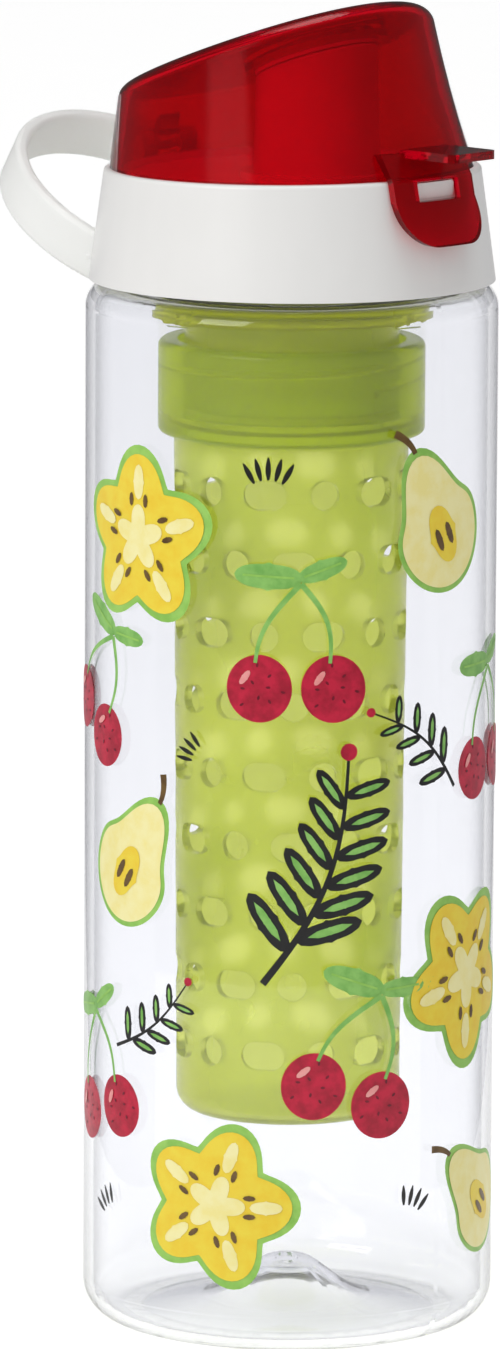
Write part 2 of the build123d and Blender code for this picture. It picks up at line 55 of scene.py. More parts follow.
# Collar of the infuser tube, where the green turns deeper
COLLAR_HEIGHT = 16.7 * MM
COLLAR_BLEND_BELOW = 1.2 * MM
COLLAR_BLEND_ABOVE = 0.8 * MM
collar_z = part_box("infuser_tube")[1][2] - COLLAR_HEIGHT

# Relief of every surface skin
RELIEF_DEPTH = 0.03 * MM

# Studio
AMBIENT = 0.56
FLOOR_R = 6.0
FLOOR_GLOW = 0.45
SCREEN_R = 0.36
SCREEN_LOW = 0.004
SCREEN_TOP = 1.1
SCREEN_BACK_LOW = 0.2
SCREEN_GREY = 0.10
SCREEN_STEPS = 24
BOARD_OUT = 0.15
BOARD_NEAR = 0.05
BOARD_FAR = -0.55
BOARD_LOW = 0.002
BOARD_TOP = 0.2
BOARD_COOLNESS = 1.04


# Node helpers


def join(tree, start, end):
    """Links an output socket to an input socket."""
    tree.links.new(start, end)


def node(tree, kind, x, y, **settings):
    """A node of a kind at a place in the tree, with its settings."""
    made = tree.nodes.new(kind)
    made.location = (x, y)
    for name, value in settings.items():
        setattr(made, name, value)
    return made


def noise(tree, x, y, scale, detail, roughness=0.5):
    """Noise over the piece's own coordinates."""
    made = node(tree, "ShaderNodeTexNoise", x, y)
    made.inputs["Scale"].default_value = scale
    made.inputs["Detail"].default_value = detail
    made.inputs["Roughness"].default_value = roughness
    return made


def group_sockets(group, inputs, outputs):
    """Named inputs and outputs of a shader node group."""
    for name, kind, value in inputs:
        socket = group.interface.new_socket(name=name, in_out="INPUT", socket_type=kind)
        socket.default_value = value
    for name, kind in outputs:
        group.interface.new_socket(name=name, in_out="OUTPUT", socket_type=kind)


def make_moulded_skin():
    """Moulded plastic: slow cloudiness of the colour, faint flow lines, and a fine satin grain."""
    group = bpy.data.node_groups.new("moulded_skin", "ShaderNodeTree")
    group_sockets(
        group,
        [
            ("Colour", "NodeSocketColor", (0.8, 0.8, 0.8, 1)),
            ("Cloud Colour", "NodeSocketColor", (0.7, 0.7, 0.7, 1)),
            ("Cloud", "NodeSocketFloat", 0.3),
            ("Roughness", "NodeSocketFloat", 0.3),
            ("Roughness Spread", "NodeSocketFloat", 0.08),
            ("Grain Scale", "NodeSocketFloat", 1800.0),
        ],
        [
            ("Colour", "NodeSocketColor"),
            ("Roughness", "NodeSocketFloat"),
            ("Height", "NodeSocketFloat"),
        ],
    )
    given = node(group, "NodeGroupInput", -900, 0)
    result = node(group, "NodeGroupOutput", 500, 0)
    place = node(group, "ShaderNodeTexCoord", -900, -300)
    cloud = noise(group, -600, 200, 55.0, 3.0)
    join(group, place.outputs["Object"], cloud.inputs["Vector"])
    flow_stretch = node(group, "ShaderNodeMapping", -750, -100)
    flow_stretch.inputs["Scale"].default_value = (1, 1, 0.15)
    flow = noise(group, -550, -100, 240.0, 2.0)
    join(group, place.outputs["Object"], flow_stretch.inputs["Vector"])
    join(group, flow_stretch.outputs["Vector"], flow.inputs["Vector"])
    grain = noise(group, -550, -400, 1800.0, 2.0, 0.6)
    join(group, place.outputs["Object"], grain.inputs["Vector"])
    join(group, given.outputs["Grain Scale"], grain.inputs["Scale"])
    both = node(group, "ShaderNodeMath", -350, 100, operation="MULTIPLY_ADD")
    join(group, flow.outputs["Fac"], both.inputs[0])
    both.inputs[1].default_value = 0.35
    join(group, cloud.outputs["Fac"], both.inputs[2])
    spread = node(group, "ShaderNodeMapRange", -180, 100)
    spread.inputs["From Min"].default_value = 0.45
    spread.inputs["From Max"].default_value = 0.9
    join(group, both.outputs["Value"], spread.inputs["Value"])
    share = node(group, "ShaderNodeMath", 0, 100, operation="MULTIPLY")
    join(group, spread.outputs["Result"], share.inputs[0])
    join(group, given.outputs["Cloud"], share.inputs[1])
    colour = node(group, "ShaderNodeMix", 200, 150, data_type="RGBA")
    join(group, share.outputs["Value"], colour.inputs["Factor"])
    join(group, given.outputs["Colour"], colour.inputs["A"])
    join(group, given.outputs["Cloud Colour"], colour.inputs["B"])
    join(group, colour.outputs["Result"], result.inputs["Colour"])
    swing = node(group, "ShaderNodeMath", 0, -100, operation="SUBTRACT")
    join(group, grain.outputs["Fac"], swing.inputs[0])
    swing.inputs[1].default_value = 0.5
    rough = node(group, "ShaderNodeMath", 200, -100, operation="MULTIPLY_ADD")
    join(group, swing.outputs["Value"], rough.inputs[0])
    join(group, given.outputs["Roughness Spread"], rough.inputs[1])
    join(group, given.outputs["Roughness"], rough.inputs[2])
    join(group, rough.outputs["Value"], result.inputs["Roughness"])
    height = node(group, "ShaderNodeMath", 200, -300, operation="MULTIPLY_ADD")
    join(group, flow.outputs["Fac"], height.inputs[0])
    height.inputs[1].default_value = 0.6
    join(group, grain.outputs["Fac"], height.inputs[2])
    join(group, height.outputs["Value"], result.inputs["Height"])
    return group


def make_ink_skin():
    """Printed ink: the tone runs from thin to full in soft patches, over a fine screen grain."""
    group = bpy.data.node_groups.new("ink_skin", "ShaderNodeTree")
    group_sockets(
        group,
        [
            ("Colour", "NodeSocketColor", (0.8, 0.1, 0.1, 1)),
            ("Full Colour", "NodeSocketColor", (0.4, 0.0, 0.1, 1)),
            ("Patch Scale", "NodeSocketFloat", 260.0),
            ("Roughness", "NodeSocketFloat", 0.35),
        ],
        [
            ("Colour", "NodeSocketColor"),
            ("Roughness", "NodeSocketFloat"),
            ("Height", "NodeSocketFloat"),
        ],
    )
    given = node(group, "NodeGroupInput", -700, 0)
    result = node(group, "NodeGroupOutput", 400, 0)
    place = node(group, "ShaderNodeTexCoord", -700, -300)
    patch = noise(group, -450, 150, 260.0, 3.0, 0.55)
    join(group, place.outputs["Object"], patch.inputs["Vector"])
    join(group, given.outputs["Patch Scale"], patch.inputs["Scale"])
    screen = noise(group, -450, -200, 2600.0, 1.0)
    join(group, place.outputs["Object"], screen.inputs["Vector"])
    depth = node(group, "ShaderNodeMapRange", -200, 150)
    depth.inputs["From Min"].default_value = 0.38
    depth.inputs["From Max"].default_value = 0.66
    join(group, patch.outputs["Fac"], depth.inputs["Value"])
    colour = node(group, "ShaderNodeMix", 100, 150, data_type="RGBA")
    join(group, depth.outputs["Result"], colour.inputs["Factor"])
    join(group, given.outputs["Colour"], colour.inputs["A"])
    join(group, given.outputs["Full Colour"], colour.inputs["B"])
    join(group, colour.outputs["Result"], result.inputs["Colour"])
    rough = node(group, "ShaderNodeMath", 100, -100, operation="MULTIPLY_ADD")
    join(group, screen.outputs["Fac"], rough.inputs[0])
    rough.inputs[1].default_value = 0.12
    join(group, given.outputs["Roughness"], rough.inputs[2])
    join(group, rough.outputs["Value"], result.inputs["Roughness"])
    join(group, screen.outputs["Fac"], result.inputs["Height"])
    return group


moulded_skin = make_moulded_skin()
ink_skin = make_ink_skin()


def start_finish(name, skin, values, bump):
    """A material whose Principled shader is fed by a skin group. Returns material, tree, shader and group."""
    material = bpy.data.materials.new(name)
    material.use_nodes = True
    tree = material.node_tree
    shader = tree.nodes["Principled BSDF"]
    placed = node(tree, "ShaderNodeGroup", -500, 0, node_tree=skin)
    for socket, value in values.items():
        placed.inputs[socket].default_value = value
    join(tree, placed.outputs["Colour"], shader.inputs["Base Color"])
    join(tree, placed.outputs["Roughness"], shader.inputs["Roughness"])
    relief = node(tree, "ShaderNodeBump", -250, -250)
    relief.inputs["Strength"].default_value = bump
    relief.inputs["Distance"].default_value = RELIEF_DEPTH
    join(tree, placed.outputs["Height"], relief.inputs["Height"])
    join(tree, relief.outputs["Normal"], shader.inputs["Normal"])
    return material, tree, shader, placed


def edge_depth_and_painted_shade(tree, shader, placed, edge_depth_and_shade_colour, blend, low, high):
    """The base colour turns towards an edge colour where the wall is seen edge-on, by Layer Weight facing:
    painted shade, which on a tinted wall also stands for the longer path through it.
    """
    weight = node(tree, "ShaderNodeLayerWeight", -700, 300)
    weight.inputs["Blend"].default_value = blend
    ramp = node(tree, "ShaderNodeMapRange", -500, 300, interpolation_type="SMOOTHSTEP")
    ramp.inputs["From Min"].default_value = low
    ramp.inputs["From Max"].default_value = high
    join(tree, weight.outputs["Facing"], ramp.inputs["Value"])
    # Painted shade: the edge colour is mixed into the base colour towards the silhouettes.
    mix = node(tree, "ShaderNodeMix", -250, 250, data_type="RGBA")
    mix.inputs["B"].default_value = edge_depth_and_shade_colour
    join(tree, ramp.outputs["Result"], mix.inputs["Factor"])
    join(tree, placed.outputs["Colour"], mix.inputs["A"])
    join(tree, mix.outputs["Result"], shader.inputs["Base Color"])


def clear_wall_finish():
    """Clear blown plastic of the body, with painted grey shade along its edges."""
    material, tree, shader, placed = start_finish(
        "clear_wall",
        moulded_skin,
        {
            "Colour": (0.905, 0.91, 0.935, 1),
            "Cloud Colour": (0.88, 0.885, 0.91, 1),
            "Cloud": 0.5,
            "Roughness": 0.03,
            "Roughness Spread": 0.02,
            "Grain Scale": 600.0,
        },
        0.03,
    )
    shader.inputs["Transmission Weight"].default_value = 1.0
    shader.inputs["IOR"].default_value = 1.47
    shader.inputs["Specular IOR Level"].default_value = 0.12
    # Painted shade: the clear wall turns grey where it is seen edge-on.
    edge_depth_and_painted_shade(tree, shader, placed, (0.19, 0.195, 0.22, 1), 0.5, 0.57, 0.93)
    return material


def cap_finish():
    """Warm white satin plastic."""
    material, _, shader, _ = start_finish(
        "cap_white",
        moulded_skin,
        {
            "Colour": (0.81, 0.805, 0.795, 1),
            "Cloud Colour": (0.76, 0.755, 0.745, 1),
            "Cloud": 0.5,
            "Roughness": 0.34,
            "Roughness Spread": 0.14,
            "Grain Scale": 2400.0,
        },
        0.12,
    )
    shader.inputs["Coat Weight"].default_value = 0.12
    shader.inputs["Coat Roughness"].default_value = 0.22
    return material


def loop_finish():
    """Natural polypropylene, milky and a little see-through."""
    material, _, shader, _ = start_finish(
        "loop_white",
        moulded_skin,
        {
            "Colour": (0.97, 0.975, 0.96, 1),
            "Cloud Colour": (0.93, 0.935, 0.925, 1),
            "Cloud": 0.6,
            "Roughness": 0.42,
            "Roughness Spread": 0.12,
            "Grain Scale": 1500.0,
        },
        0.16,
    )
    shader.inputs["Transmission Weight"].default_value = 0.3
    shader.inputs["IOR"].default_value = 1.4
    shader.inputs["Specular IOR Level"].default_value = 0.3
    return material


def spout_finish():
    """White plastic of the spout, smooth where lips touch it."""
    return start_finish(
        "spout_white",
        moulded_skin,
        {
            "Colour": (0.86, 0.855, 0.84, 1),
            "Cloud Colour": (0.80, 0.795, 0.78, 1),
            "Cloud": 0.4,
            "Roughness": 0.22,
            "Roughness Spread": 0.08,
            "Grain Scale": 1600.0,
        },
        0.06,
    )[0]


def cover_finish():
    """Deep red tinted clear plastic of the flip cover and its latch."""
    material, tree, shader, placed = start_finish(
        "cover_red",
        moulded_skin,
        {
            "Colour": (0.58, 0.0, 0.010, 1),
            "Cloud Colour": (0.47, 0.0, 0.007, 1),
            "Cloud": 0.6,
            "Roughness": 0.06,
            "Roughness Spread": 0.03,
            "Grain Scale": 700.0,
        },
        0.04,
    )
    shader.inputs["Transmission Weight"].default_value = 0.88
    shader.inputs["IOR"].default_value = 1.42
    shader.inputs["Specular IOR Level"].default_value = 0.08
    # Painted shade: the red deepens to near-black maroon along the edges, partly the real longer path through
    # the tinted wall and partly painted shade.
    edge_depth_and_painted_shade(tree, shader, placed, (0.05, 0.0, 0.004, 1), 0.5, 0.46, 0.86)
    return material


def infuser_finish():
    """Green tinted plastic, deeper in the collar than in the thin tube."""
    material, tree, shader, placed = start_finish(
        "infuser_green",
        moulded_skin,
        {
            "Cloud": 0.55,
            "Roughness": 0.24,
            "Roughness Spread": 0.1,
            "Grain Scale": 1300.0,
        },
        0.1,
    )
    place = node(tree, "ShaderNodeTexCoord", -1300, 100)
    split = node(tree, "ShaderNodeSeparateXYZ", -1150, 100)
    join(tree, place.outputs["Object"], split.inputs["Vector"])
    rise = node(tree, "ShaderNodeMapRange", -1000, 100, interpolation_type="SMOOTHSTEP")
    rise.inputs["From Min"].default_value = collar_z - COLLAR_BLEND_BELOW
    rise.inputs["From Max"].default_value = collar_z + COLLAR_BLEND_ABOVE
    join(tree, split.outputs["Z"], rise.inputs["Value"])
    for socket, thin, thick, y in (
        ("Colour", (0.92, 0.98, 0.22, 1), (0.66, 0.78, 0.008, 1), 300),
        ("Cloud Colour", (0.86, 0.94, 0.16, 1), (0.59, 0.71, 0.006, 1), 0),
    ):
        mix = node(tree, "ShaderNodeMix", -780, y, data_type="RGBA")
        mix.inputs["A"].default_value = thin
        mix.inputs["B"].default_value = thick
        join(tree, rise.outputs["Result"], mix.inputs["Factor"])
        join(tree, mix.outputs["Result"], placed.inputs[socket])
    shader.inputs["Transmission Weight"].default_value = 0.72
    shader.inputs["IOR"].default_value = 1.24
    shader.inputs["Specular IOR Level"].default_value = 0.2
    return material


def hanger_painted_light_finish():
    """Green tinted plastic of the hanger, a copy of the infuser green whose colour is set brighter than the
    collar's as painted light, since light reaches it from below only.
    """
    material, _, shader, _ = start_finish(
        "hanger_green_painted_light",
        moulded_skin,
        {
            # Painted light: the green is set brighter to make up for the shade under the cap.
            "Colour": (0.90, 0.95, 0.05, 1),
            "Cloud Colour": (0.83, 0.90, 0.035, 1),
            "Cloud": 0.55,
            "Roughness": 0.22,
            "Roughness Spread": 0.1,
            "Grain Scale": 1300.0,
        },
        0.1,
    )
    shader.inputs["Transmission Weight"].default_value = 0.72
    shader.inputs["IOR"].default_value = 1.24
    shader.inputs["Specular IOR Level"].default_value = 0.2
    return material


def seal_finish():
    """Soft matt silicone of the seals and the stopper."""
    material, _, shader, _ = start_finish(
        "seal_silicone",
        moulded_skin,
        {
            "Colour": (0.80, 0.795, 0.775, 1),
            "Cloud Colour": (0.70, 0.69, 0.67, 1),
            "Cloud": 0.6,
            "Roughness": 0.55,
            "Roughness Spread": 0.15,
            "Grain Scale": 2200.0,
        },
        0.2,
    )
    shader.inputs["Subsurface Weight"].default_value = 0.2
    shader.inputs["Subsurface Scale"].default_value = 0.001
    return material


def pin_finish():
    """Smooth white acetal of the hinge pin."""
    return start_finish(
        "pin_white",
        moulded_skin,
        {
            "Colour": (0.78, 0.78, 0.77, 1),
            "Cloud Colour": (0.68, 0.68, 0.67, 1),
            "Cloud": 0.5,
            "Roughness": 0.3,
            "Roughness Spread": 0.1,
            "Grain Scale": 3000.0,
        },
        0.1,
    )[0]


def ink_finish(name, colour, full_colour, patch_scale):
    """One printing ink on the body."""
    return start_finish(
        name,
        ink_skin,
        {
            "Colour": colour,
            "Full Colour": full_colour,
            "Patch Scale": patch_scale,
            "Roughness": 0.32,
        },
        0.25,
    )[0]


finishes = {
    "bottle_body": clear_wall_finish(),
    "cap": cap_finish(),
    "carry_loop": loop_finish(),
    "drinking_spout": spout_finish(),
    "flip_cover": cover_finish(),
    "infuser_tube": infuser_finish(),
    "spout_stopper": seal_finish(),
    "hinge_pin": pin_finish(),
}
finishes["latch_tab"] = finishes["flip_cover"]
finishes["infuser_hanger"] = hanger_painted_light_finish()
finishes["neck_seal"] = finishes["spout_stopper"]
finishes["infuser_seal"] = finishes["spout_stopper"]
for piece_name, finish in finishes.items():
    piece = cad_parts[piece_name]
    for place in range(len(piece.material_slots)):
        piece.material_slots[place].material = finish
    if not piece.material_slots:
        piece.data.materials.append(finish)

# Light reaches what stands inside the clear wall and under the clear cover
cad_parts["bottle_body"].visible_shadow = False
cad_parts["bottle_body"].visible_diffuse = False
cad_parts["flip_cover"].visible_shadow = False

# Print on the front of the body: star fruit slices, pear halves, cherries, leaves and ink sprigs
INKS = {
    "yellow": ink_finish("ink_yellow", (0.87, 0.68, 0.045, 1), (0.86, 0.60, 0.025, 1), 300.0),
    "rind": ink_finish("ink_rind", (0.33, 0.62, 0.12, 1), (0.24, 0.52, 0.08, 1), 340.0),
    "pale": ink_finish("ink_pale", (0.93, 0.86, 0.42, 1), (0.90, 0.80, 0.30, 1), 320.0),
    "crimson": ink_finish("ink_crimson", (0.56, 0.004, 0.040, 1), (0.36, 0.0, 0.022, 1), 380.0),
    "dark": ink_finish("ink_dark", (0.20, 0.0, 0.018, 1), (0.13, 0.0, 0.012, 1), 300.0),
    "leaf": ink_finish("ink_leaf", (0.27, 0.56, 0.13, 1), (0.17, 0.43, 0.08, 1), 360.0),
    "black": ink_finish("ink_black", (0.012, 0.012, 0.012, 1), (0.007, 0.007, 0.007, 1), 300.0),
    "seed": ink_finish("ink_seed", (0.16, 0.09, 0.02, 1), (0.10, 0.05, 0.012, 1), 500.0),
    "blush": ink_finish("ink_blush", (0.86, 0.36, 0.34, 1), (0.80, 0.26, 0.26, 1), 400.0),
}
INK_ORDER = list(INKS)


class PrintedMotif:
    """Thin printed film of one kind of motif, laid on the body's wall. Sizes here are in millimetres."""

    def __init__(self, name):
        self.name = name
        self.points = []
        self.faces = []
        self.inks = []

    def wall_point(self, across, height, layer):
        """Point on the wall, across it from the line that faces the camera."""
        turn = CAMERA_AZIMUTH - math.pi / 2 + across * MM / BODY_R
        out = BODY_R + PRINT_LIFT * layer
        return (out * math.cos(turn), out * math.sin(turn), height * MM)

    def patch(self, centre, turn, outline, ink, layer, steps=56, rings=3):
        """Closed patch round a centre. outline gives the distance out at an angle."""
        base = len(self.points)
        self.points.append(self.wall_point(centre[0], centre[1], layer))
        for ring in range(1, rings + 1):
            for step in range(steps):
                angle = 2 * math.pi * step / steps
                out = outline(angle) * ring / rings
                across = centre[0] + out * math.cos(angle + turn)
                height = centre[1] + out * math.sin(angle + turn)
                self.points.append(self.wall_point(across, height, layer))
        for step in range(steps):
            after = (step + 1) % steps
            self.faces.append((base, base + 1 + step, base + 1 + after))
            self.inks.append(INK_ORDER.index(ink))
            for ring in range(rings - 1):
                inner = base + 1 + ring * steps
                outer = inner + steps
                self.faces.append((inner + step, outer + step, outer + after, inner + after))
                self.inks.append(INK_ORDER.index(ink))

    def stroke(self, path, width, ink, layer, steps=18):
        """Brush stroke along a path of a share from 0 to 1, with a width that also follows the share."""
        base = len(self.points)
        for step in range(steps + 1):
            share = step / steps
            x0, y0 = path(max(share - 0.01, 0))
            x1, y1 = path(min(share + 0.01, 1))
            x, y = path(share)
            length = math.hypot(x1 - x0, y1 - y0)
            side = (-(y1 - y0) / length, (x1 - x0) / length)
            for way in (-1, 1):
                half = way * width(share) / 2
                self.points.append(self.wall_point(x + side[0] * half, y + side[1] * half, layer))
        for step in range(steps):
            low = base + 2 * step
            self.faces.append((low, low + 2, low + 3, low + 1))
            self.inks.append(INK_ORDER.index(ink))

    def lay(self):
        """Makes the object, gives it the inks and lets it ride on the bottle."""
        mesh = bpy.data.meshes.new(self.name)
        mesh.from_pydata(self.points, [], self.faces)
        for ink in INKS.values():
            mesh.materials.append(ink)
        for face, ink in zip(mesh.polygons, self.inks):
            face.material_index = ink
            face.use_smooth = True
        mesh.update()
        made = bpy.data.objects.new(self.name, mesh)
        bpy.context.scene.collection.objects.link(made)
        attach(made, "bottle")
        return made


def turned(x, y, turn):
    """A point turned about the origin."""
    return (x * math.cos(turn) - y * math.sin(turn), x * math.sin(turn) + y * math.cos(turn))


def disc(radius, squeeze=1.0):
    """Outline of a disc, or of an ellipse where it is squeezed across."""
    return lambda angle: radius * squeeze / math.hypot(squeeze * math.cos(angle), math.sin(angle))


def star(radius, lobes=5, depth=0.30):
    """Outline of a star fruit slice, with round lobes."""
    return lambda angle: radius * (1 - depth + depth * abs(math.cos(lobes * angle / 2)) ** 1.3)


def pear(radius):
    """Outline of a pear half that points to angle zero, with a waist below its neck."""

    def outline(angle):
        away = abs((angle + math.pi) % (2 * math.pi) - math.pi)
        neck = 0.62 * math.exp(-((away / 0.42) ** 2))
        waist = 0.06 * math.exp(-(((away - 0.9) / 0.3) ** 2))
        return radius * (1 + neck - waist)

    return outline


def leaf(length, width):
    """Outline of a leaf whose two tips lie on the line of angle zero."""

    def outline(angle):
        ellipse = 1 / math.sqrt((math.cos(angle) / length) ** 2 + (math.sin(angle) / width) ** 2)
        return ellipse * (1 - 0.5 * (1 - abs(math.cos(angle))) * abs(math.cos(angle)))

    return outline


def draw_star_slice(motif, across, height, radius, turn):
    """Star fruit slice: rind, flesh, pale rays and seeds."""
    centre = (across, height)
    motif.patch(centre, turn, star(radius), "rind", 1, steps=80)
    motif.patch(centre, turn, star(radius * 0.9, depth=0.31), "yellow", 2, steps=80)
    motif.patch(centre, turn, star(radius * 0.36, depth=0.5), "pale", 3, steps=60)
    for lobe in range(5):
        ray = turn + 2 * math.pi * lobe / 5
        x, y = turned(radius * 0.60, 0, ray)
        motif.patch((across + x, height + y), ray, leaf(radius * 0.19, radius * 0.085), "pale", 3, steps=28)
        pip = leaf(radius * 0.075, radius * 0.034)
        for side in (-1, 1):
            x, y = turned(radius * 0.42, 0, ray + side * 0.26)
            motif.patch((across + x, height + y), ray, pip, "seed", 4, steps=16, rings=2)


def draw_pear_half(motif, across, height, radius, turn):
    """Pear half with rind, flesh, core, two seeds and a stalk."""
    centre = (across, height)
    motif.patch(centre, turn, pear(radius), "rind", 1, steps=80)
    motif.patch(centre, turn, pear(radius * 0.91), "pale", 2, steps=80)
    motif.patch(centre, turn, leaf(radius * 0.52, radius * 0.33), "yellow", 3, steps=40)
    pip = leaf(radius * 0.21, radius * 0.075)
    for side in (-1, 1):
        x, y = turned(-radius * 0.05, side * radius * 0.13, turn)
        motif.patch((across + x, height + y), turn, pip, "seed", 4, steps=24, rings=2)

    def stalk(share):
        x, y = turned(radius * (1.55 + 0.5 * share), radius * 0.22 * share**2, turn)
        return (across + x, height + y)

    motif.stroke(stalk, lambda share: radius * (0.09 + 0.05 * share), "seed", 2, steps=8)


def draw_cherries(motif, across, height, radius, turn):
    """Two cherries on bent stalks below a leaf."""
    top = turned(radius * 0.6, radius * 3.0, turn)
    for side, drop in ((-1, 0.0), (1, -0.35)):
        x, y = turned(side * radius * 1.12, drop * radius, turn)
        centre = (across + x, height + y)
        motif.patch(centre, turn, disc(radius, 1.04), "crimson", 2, steps=56)
        speck = leaf(radius * 0.075, radius * 0.04)
        for place in range(9):
            x, y = turned(radius * (0.28 + 0.45 * (place % 3) / 2), 0, turn + 0.75 * place)
            motif.patch((centre[0] + x, centre[1] + y), 0.75 * place, speck, "dark", 3, steps=12, rings=1)
        x, y = turned(-radius * 0.38, radius * 0.4, turn)
        glint = leaf(radius * 0.26, radius * 0.11)
        motif.patch((centre[0] + x, centre[1] + y), turn + 0.8, glint, "blush", 4, steps=24, rings=2)

        def stalk(share, centre=centre, side=side):
            start = turned(0, radius * 0.8, turn)
            x0 = centre[0] + start[0]
            y0 = centre[1] + start[1]
            bow = turned(side * radius * 0.35 * math.sin(math.pi * share), 0, turn)
            x = x0 + (across + top[0] - x0) * share + bow[0]
            y = y0 + (height + top[1] - y0) * share + bow[1]
            return (x, y)

        motif.stroke(stalk, lambda share: radius * (0.11 + 0.07 * share), "leaf", 3, steps=14)
    for side, size in ((-1, 1.05), (1, 0.8)):
        x, y = turned(side * radius * size * 0.95, radius * 0.16, turn + side * 0.2)
        middle = (across + top[0] + x, height + top[1] + y)
        rib_turn = turn + side * 0.2
        motif.patch(middle, rib_turn, leaf(radius * size, radius * size * 0.42), "leaf", 1, steps=40)

        def rib(share, middle=middle, size=size, rib_turn=rib_turn):
            x, y = turned(radius * size * (1.5 * share - 0.75), 0, rib_turn)
            return (middle[0] + x, middle[1] + y)

        motif.stroke(rib, lambda share: radius * 0.07, "rind", 2, steps=6)


def draw_sprig(motif, across, height, length, turn, pairs):
    """Black ink sprig: a bowed stem with paired leaves and a berry at its tip."""

    def stem(share):
        x, y = turned(length * 0.10 * math.sin(math.pi * share), length * (share - 0.5), turn)
        return (across + x, height + y)

    motif.stroke(stem, lambda share: length * (0.030 - 0.018 * share), "black", 2, steps=24)
    for pair in range(pairs):
        share = 0.16 + 0.74 * pair / pairs
        size = length * (0.155 - 0.07 * share)
        for side in (-1, 1):
            x, y = stem(share + (0.05 if side > 0 else 0))
            lean = turn + math.pi / 2 - side * 0.95
            dx, dy = turned(size * 0.98, 0, lean)
            motif.patch((x + dx, y + dy), lean, leaf(size, size * 0.34), "black", 1, steps=32)
            dx, dy = turned(size * 1.02, 0, lean)
            inner = leaf(size * 0.66, size * 0.12)
            motif.patch((x + dx, y + dy), lean, inner, "leaf", 2, steps=24, rings=2)
    tip = stem(1)
    motif.patch(tip, 0, disc(length * 0.035), "crimson", 3, steps=28, rings=2)


def draw_dashes(motif, across, height, length, turn, count):
    """A fan of short black brush strokes."""
    for place in range(count):
        lean = turn + 0.26 * (place - (count - 1) / 2)

        def dash(share, lean=lean, place=place):
            x, y = turned(length * (0.55 + 0.45 * share), 0, lean)
            return (across + x, height + y)

        def width(share):
            return length * 0.11 * math.sin(math.pi * (0.12 + 0.8 * share))

        motif.stroke(dash, width, "black", 1, steps=10)


# Places of the motifs: across, height and size in millimetres, turn in radians, and a count on the last two
STAR_PLACES = ((-30, 145, 16.5, 0.3), (38, 66, 17.0, 0.9), (-13, 27, 15.5, 0.0))
PEAR_PLACES = ((30, 146, 10.5, 2.0), (-33, 85, 10.0, 1.0), (44, 24, 9.5, 2.4))
CHERRY_PLACES = (
    (1, 121, 5.8, 0.15),
    (-45, 112, 5.4, -0.3),
    (11, 48, 5.8, -0.15),
    (-41, 42, 5.4, 0.35),
    (46, 104, 5.4, 0.2),
)
SPRIG_PLACES = (
    (3, 88, 44, -0.35, 6),
    (24, 108, 24, 0.9, 4),
    (-27, 60, 22, -0.9, 4),
)
DASH_PLACES = (
    (-4, 152, 9, 1.57, 5),
    (22, 22, 8, 1.2, 4),
    (-14, 106, 7, 2.6, 4),
    (-36, 20, 8, 2.2, 4),
)

star_slices = PrintedMotif("print_star_slices")
pear_halves = PrintedMotif("print_pear_halves")
cherries = PrintedMotif("print_cherries")
sprigs = PrintedMotif("print_sprigs")
dashes = PrintedMotif("print_dashes")
for across, height, radius, turn in STAR_PLACES:
    draw_star_slice(star_slices, across, height, radius, turn)
for across, height, radius, turn in PEAR_PLACES:
    draw_pear_half(pear_halves, across, height, radius, turn)
for across, height, radius, turn in CHERRY_PLACES:
    draw_cherries(cherries, across, height, radius, turn)
for across, height, length, turn, pairs in SPRIG_PLACES:
    draw_sprig(sprigs, across, height, length, turn, pairs)
for across, height, length, turn, count in DASH_PLACES:
    draw_dashes(dashes, across, height, length, turn, count)
for motif in (star_slices, pear_halves, cherries, sprigs, dashes):
    motif.lay()


# Studio: camera, world, floor, lamps, and the boards and screens that show in reflections


def make_camera():
    """A camera with a long lens, turned a little so that the bottle stands right of the middle."""
    data = bpy.data.cameras.new("camera")
    camera = bpy.data.objects.new("camera", data)
    bpy.context.scene.collection.objects.link(camera)
    right = Vector((math.cos(CAMERA_AZIMUTH), math.sin(CAMERA_AZIMUTH), 0))
    ahead = Vector(
        (
            -math.sin(CAMERA_AZIMUTH) * math.cos(CAMERA_PITCH),
            math.cos(CAMERA_AZIMUTH) * math.cos(CAMERA_PITCH),
            -math.sin(CAMERA_PITCH),
        )
    )
    up = right.cross(ahead)
    rolled_right = math.cos(CAMERA_ROLL) * right + math.sin(CAMERA_ROLL) * up
    look = (ahead - FRAME_OFFSET_SHARE * rolled_right).normalized()
    rolled_right = (rolled_right - rolled_right.dot(look) * look).normalized()
    rolled_up = rolled_right.cross(look)
    place = Vector(
        (
            math.sin(CAMERA_AZIMUTH) * CAMERA_DISTANCE,
            -math.cos(CAMERA_AZIMUTH) * CAMERA_DISTANCE,
            CAMERA_HEIGHT,
        )
    )
    turn = Matrix((rolled_right, rolled_up, -look)).transposed().to_4x4()
    camera.matrix_world = Matrix.Translation(place) @ turn
    data.lens = CAMERA_LENS
    data.clip_start = 0.1
    data.clip_end = 20
    bpy.context.scene.camera = camera


def studio_place(right, towards, up):
    """A point given by how far it lies right of the bottle, towards the camera, and up."""
    c, s = math.cos(CAMERA_AZIMUTH), math.sin(CAMERA_AZIMUTH)
    return Vector((right * c + towards * s, right * s - towards * c, up))


def make_lamp(name, place, aim, size, power, colour):
    """A square soft lamp."""
    data = bpy.data.lights.new(name, "AREA")
    data.shape = "SQUARE"
    data.size = size
    data.energy = power
    data.color = colour
    lamp = bpy.data.objects.new(name, data)
    lamp.location = place
    lamp.rotation_euler = (aim - place).to_track_quat("-Z", "Y").to_euler()
    bpy.context.scene.collection.objects.link(lamp)


